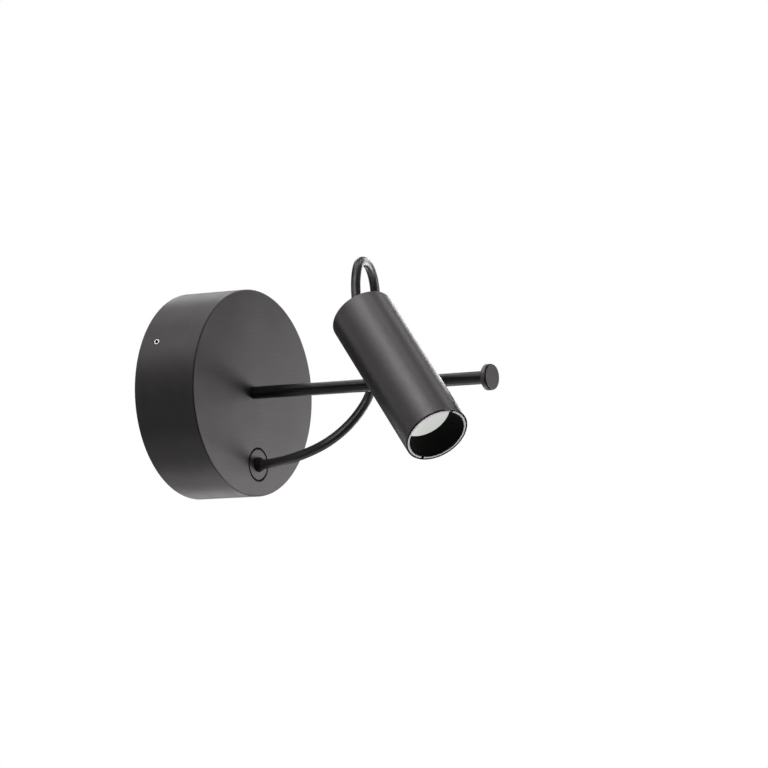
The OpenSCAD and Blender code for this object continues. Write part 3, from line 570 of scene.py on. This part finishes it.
def outlet_turned():
    """The outlet's disc with the groove round its edge, and its stem behind the face."""
    source = NODES["cable_outlet"].data.vertices
    hole = min(from_outlet(v.co) for v in source)
    back = max(v.co.y for v in source)
    stem = max(from_outlet(v.co) for v in source if v.co.y > back - OUTLET_STEM_END)
    rim = OUTLET_RADIUS - GROOVE_WIDTH
    made = lathe("cable_outlet_shown", OUTLET_CENTRE, [
        (hole, FACE_Y + OUTLET_LIP), (hole + OUTLET_LIP, FACE_Y), (rim, FACE_Y),
        (rim + GROOVE_SLOPE, FACE_Y + GROOVE_DEEP_INSIDE),
        (OUTLET_RADIUS, FACE_Y + GROOVE_DEEP_OUTSIDE), (OUTLET_RADIUS, FACE_Y + OUTLET_THICK),
        (stem, FACE_Y + OUTLET_THICK), (stem, back), (hole, back),
    ], OUTLET_SIDES)
    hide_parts("cable_outlet")
    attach(made, "root")
    return made


SHOWN = {name: refined(name, width) for name, width in EDGES.items()}
SHOWN["cable_outlet"] = outlet_turned()


def paint(piece, material, wanted):
    """The faces that the test picks, by centre and normal, get the material."""
    mesh = piece.data
    mesh.materials.append(MATERIALS[material])
    for face in mesh.polygons:
        if wanted(face.center, face.normal):
            face.material_index = len(mesh.materials) - 1


# What the tests below measure from: the head's axis and mouth, the knob, the drum's screws
LENS_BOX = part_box("lens")
HEAD_AXIS = (LENS_BOX[0] + LENS_BOX[1]) / 2
MOUTH = max(v.co.dot(HEAD_AHEAD) for v in NODES["head_tube"].data.vertices)
HEAD_RADIUS = 20 * MM
HEAD_RIM = 0.25 * MM
MOUTH_DEPTH = 40 * MM
KNOB_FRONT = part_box("end_knob")[0].y
# The band behind the knob's front that is painted black as the groove's shade
KNOB_GROOVE_SHADE = (0.2 * MM, 0.85 * MM)
DRUM_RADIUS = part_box("canopy")[1].x
SCREW_Y = -12 * MM
SCREW_ANGLES = (33, 147, 270)
# How wide, and from how far in, the screw sockets are painted black as their shade
SOCKET_SHADE_RADIUS = 1.35 * MM
SOCKET_SHADE_FROM = 0.6 * MM
# Out to here round the outlet, the groove is painted black as its shade
GROOVE_SHADE_RADIUS = OUTLET_RADIUS + 0.9 * MM
# How directly a face looks along an axis, as the cosine of its angle to it
FRONT_FACING = 0.995
END_FACING = 0.9
SCREW_FACING = 0.85


def from_axis(place):
    """How far a point is from the head's axis."""
    across = place - HEAD_AXIS
    return (across - across.dot(HEAD_AHEAD) * HEAD_AHEAD).length


def bore_and_painted_mouth_shade(place, normal):
    """The bore in black, and the mouth's end face painted black as the shade of the gap round the front
    ring, up to the thin bright edge.
    """
    by_mouth = place.dot(HEAD_AHEAD) > MOUTH - MOUTH_DEPTH
    return by_mouth and from_axis(place) < HEAD_RADIUS - HEAD_RIM


def drum_side(place, normal):
    """All that doesn't face the wall or the room."""
    return abs(normal.y) < END_FACING


def ring_sides_painted_shade(place, normal):
    """All of the front ring but its front face, painted black as the shade of the gap round the ring."""
    return normal.dot(HEAD_AHEAD) < END_FACING


def outlet_groove_painted_shade(place, normal):
    """Painted shade: the groove round the outlet's disc, and the hole behind it, in black."""
    return from_outlet(place) < GROOVE_SHADE_RADIUS and normal.y > -FRONT_FACING


def outlet_side_painted_shade(place, normal):
    """All of the outlet's disc but its front face, painted black as the shade in its groove."""
    return normal.y > -FRONT_FACING


def socket_painted_shade(place, normal):
    """Painted shade: the inside of the socket of one of the drum's screws, in black."""
    for angle in SCREW_ANGLES:
        out = Vector((math.cos(math.radians(angle)), 0, math.sin(math.radians(angle))))
        across = place - Vector((0, SCREW_Y, 0))
        along = across.dot(out)
        inside = along > 0 and (across - along * out).length < SOCKET_SHADE_RADIUS
        if inside and (normal.dot(out) < SCREW_FACING or along < DRUM_RADIUS - SOCKET_SHADE_FROM):
            return True
    return False


def knob_groove_painted_shade(place, normal):
    """Painted shade: the dark line in the groove behind the knob's front edge, in black."""
    return KNOB_GROOVE_SHADE[0] < place.y - KNOB_FRONT < KNOB_GROOVE_SHADE[1]


# Faces that get another material than the rest of their piece, in this order
# All but the first are black painted shade in the mouth, gaps, grooves and sockets
PAINTED = [
    ("canopy", "turned_graphite", drum_side),
    ("head_tube", "matt_black", bore_and_painted_mouth_shade),
    ("front_ring", "matt_black", ring_sides_painted_shade),
    ("canopy", "matt_black", outlet_groove_painted_shade),
    ("cable_outlet", "matt_black", outlet_side_painted_shade),
    ("end_knob", "matt_black", knob_groove_painted_shade),
    ("drum_screws", "matt_black", socket_painted_shade),
]

for name, piece in SHOWN.items():
    wear(piece, next(m for m, names in WEARS.items() if name in names))
    piece.shadow_terminator_geometry_offset = TERMINATOR
for cord in cords:
    cord.shadow_terminator_geometry_offset = TERMINATOR
for name, material, wanted in PAINTED:
    paint(SHOWN[name], material, wanted)

# Floor, lights and backdrop
FLOOR_DROP = 2.0
FLOOR_HALF = 1.0
FLOOR_COLOUR = (0.85, 0.85, 0.85, 1)
FLOOR_ROUGH = 0.9
FLOOR_GLOW = 0.3
WHITE = (1, 1, 1, 1)
BACKDROP = 1.0
AMBIENT = 0.01
# Each group of softboxes: the point it is set round, its distance, a box's width and height
FAR = (Vector((-0.02, -0.09, 0)), 1.6, 0.457, 0.421)
NEAR = (Vector((0.03, FACE_Y, 0)), 0.4, 0.13, 0.15)
# This one stands where the drum screw's head mirrors it towards the camera
SMALL = (Vector((-0.0545, -0.012, 0.0354)), 0.6, 0.045, 0.045)
# Where each box stands, in degrees from the front towards +X and up, and its brightness
LAMPS = [
    (FAR, 164, -60, 1.96), (FAR, 236, -45, 1.04), (FAR, 133, -30, 2.35), (FAR, 34, -15, 4.8),
    (FAR, 51, -15, 1.72), (FAR, 171, -15, 2.2), (FAR, 240, -15, 0.43), (FAR, 8, 0, 5.17),
    (FAR, 107, 0, 1.6), (FAR, 103, 15, 4.54), (FAR, 189, 15, 1.59), (FAR, 274, 15, 5.27),
    (FAR, 133, 30, 3.13), (FAR, 208, 30, 0.8), (FAR, 79, 45, 2.76), (FAR, 236, 45, 1.0),
    (FAR, 164, 60, 2.54), (FAR, 229, 60, 1.3), (FAR, 262, 60, 3.22), (FAR, 90, 75, 3.48),
    (FAR, 270, 75, 3.62), (FAR, 55, -60, 1.6), (NEAR, 66, -30, 6.89), (NEAR, 84, -8, 4.9),
    (NEAR, 84, 14, 3.0), (SMALL, 212.6, 49.6, 9.0),
]


def make_floor():
    """A plain pale floor, as far below as it is under a wall light."""
    half = FLOOR_HALF
    corners = [(-half, -half), (half, -half), (half, half), (-half, half)]
    floor = mesh_object(
        "floor", [(x, y, -FLOOR_DROP) for x, y in corners], [(0, 1, 2, 3)]
    )
    material, nodes, links, shader = new_material("pale_floor")
    shader.inputs["Base Color"].default_value = FLOOR_COLOUR
    shader.inputs["Roughness"].default_value = FLOOR_ROUGH
    shader.inputs["Emission Color"].default_value = WHITE
    shader.inputs["Emission Strength"].default_value = FLOOR_GLOW
    floor.data.materials.append(material)


def make_world():
    """A dark room for the reflections, with a white backdrop behind the object."""
    world = bpy.data.worlds.new("studio")
    world.use_nodes = True
    nodes, links = world.node_tree.nodes, world.node_tree.links
    room = nodes["Background"]
    room.inputs["Color"].default_value = WHITE
    room.inputs["Strength"].default_value = AMBIENT
    white = nodes.new("ShaderNodeBackground")
    white.inputs["Color"].default_value = WHITE
    white.inputs["Strength"].default_value = BACKDROP
    path = nodes.new("ShaderNodeLightPath")
    mix = nodes.new("ShaderNodeMixShader")
    links.new(path.outputs["Is Camera Ray"], mix.inputs["Fac"])
    links.new(room.outputs["Background"], mix.inputs[1])
    links.new(white.outputs["Background"], mix.inputs[2])
    links.new(mix.outputs["Shader"], nodes["World Output"].inputs["Surface"])
    bpy.context.scene.world = world


def softbox(name, group, azimuth, elevation, brightness):
    """A soft area light aimed at the object. Its brightness is what a mirror would show of it."""
    aim, distance, width, height = group
    across, rise = math.radians(azimuth), math.radians(elevation)
    out = Vector((
        math.cos(rise) * math.sin(across), -math.cos(rise) * math.cos(across), math.sin(rise)
    ))
    data = bpy.data.lights.new(name, "AREA")
    data.shape = "RECTANGLE"
    data.size = width
    data.size_y = height
    data.energy = brightness * math.pi * width * height
    light = bpy.data.objects.new(name, data)
    light.location = aim + distance * out
    light.rotation_mode = "QUATERNION"
    light.rotation_quaternion = (-out).to_track_quat("-Z", "Y")
    light.visible_camera = False
    bpy.context.scene.collection.objects.link(light)


make_floor()
make_world()
for i, lamp in enumerate(LAMPS):
    softbox(f"softbox_{i + 1}", *lamp)
bpy.context.scene.view_settings.view_transform = "Standard"
